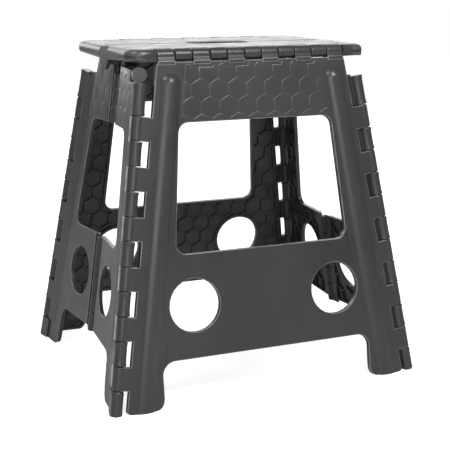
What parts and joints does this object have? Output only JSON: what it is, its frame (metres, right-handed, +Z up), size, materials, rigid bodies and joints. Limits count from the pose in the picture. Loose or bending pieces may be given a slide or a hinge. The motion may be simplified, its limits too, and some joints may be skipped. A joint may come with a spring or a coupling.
{
  "type": "folding step stool",
  "caption": "Folding step stool of moulded panels with knuckle hinges: a split tread with a carrying slot, leg panels with windows and round holes, and folding ends.",
  "frame": {"origin": "on the floor, under the centre of the tread", "axes": "+Z up, +X along the tread's length, -Y out of the front leg panel; the stool stands open"},
  "size_m": [0.386, 0.3326, 0.3902],
  "materials": {
    "panel": "satin moulded charcoal plastic",
    "rod": "plain drawn steel rod"
  },
  "bodies": {
    "front_panel": {"front_panel": "panel", "rod_tread_front": "rod", "rod_corner_front_left": "rod", "rod_corner_front_right": "rod"},
    "tread_front": {"tread_front": "panel", "rod_seam_left": "rod", "rod_seam_right": "rod"},
    "tread_rear": {"tread_rear": "panel"},
    "rear_panel": {"rear_panel": "panel", "rod_tread_rear": "rod", "rod_corner_rear_left": "rod", "rod_corner_rear_right": "rod"},
    "left_end_front": {"left_end_front": "panel", "rod_left_upper": "rod", "rod_left_lower": "rod"},
    "left_end_rear": {"left_end_rear": "panel"},
    "right_end_front": {"right_end_front": "panel"},
    "right_end_rear": {"right_end_rear": "panel", "rod_right_upper": "rod", "rod_right_lower": "rod"}
  },
  "joints": [
    {"name": "tread_front_hinge", "type": "hinge", "parent": "front_panel", "child": "tread_front", "pos_m": [0, -0.0965, 0.3835], "axis": [1, 0, 0], "range_deg": [0, 83]},
    {"name": "seam_hinge", "type": "hinge", "parent": "tread_front", "child": "tread_rear", "pos_m": [0, 0, 0.3655], "axis": [1, 0, 0], "range_deg": [-180, 0]},
    {"name": "tread_rear_hinge", "type": "hinge", "parent": "tread_rear", "child": "rear_panel", "pos_m": [0, 0.0965, 0.3835], "axis": [1, 0, 0], "range_deg": [0, 83.1]},
    {"name": "left_front_corner_hinge", "type": "hinge", "parent": "front_panel", "child": "left_end_front", "pos_m": [-0.129, -0.0965, 0.3835], "axis": [0.1462, 0.1459, 0.9784], "range_deg": [-75.4, 0]},
    {"name": "right_front_corner_hinge", "type": "hinge", "parent": "front_panel", "child": "right_end_front", "pos_m": [0.129, -0.0965, 0.3835], "axis": [-0.1462, 0.1459, 0.9784], "range_deg": [0, 75.4]},
    {"name": "left_rear_corner_hinge", "type": "hinge", "parent": "rear_panel", "child": "left_end_rear", "pos_m": [-0.129, 0.0965, 0.3835], "axis": [0.1462, -0.1459, 0.9784], "range_deg": [0, 75.4]},
    {"name": "right_rear_corner_hinge", "type": "hinge", "parent": "rear_panel", "child": "right_end_rear", "pos_m": [0.129, 0.0965, 0.3835], "axis": [-0.1462, -0.1459, 0.9784], "range_deg": [-75.4, 0]}
  ],
  "couplings": [
    {"joint": "seam_hinge", "follows": "tread_front_hinge", "ratio": -2.1662},
    {"joint": "tread_rear_hinge", "follows": "tread_front_hinge", "ratio": 1},
    {"joint": "left_front_corner_hinge", "follows": "tread_front_hinge", "ratio": -0.90758},
    {"joint": "right_front_corner_hinge", "follows": "tread_front_hinge", "ratio": 0.90758},
    {"joint": "left_rear_corner_hinge", "follows": "tread_front_hinge", "ratio": 0.90758},
    {"joint": "right_rear_corner_hinge", "follows": "tread_front_hinge", "ratio": -0.90758}
  ]
}
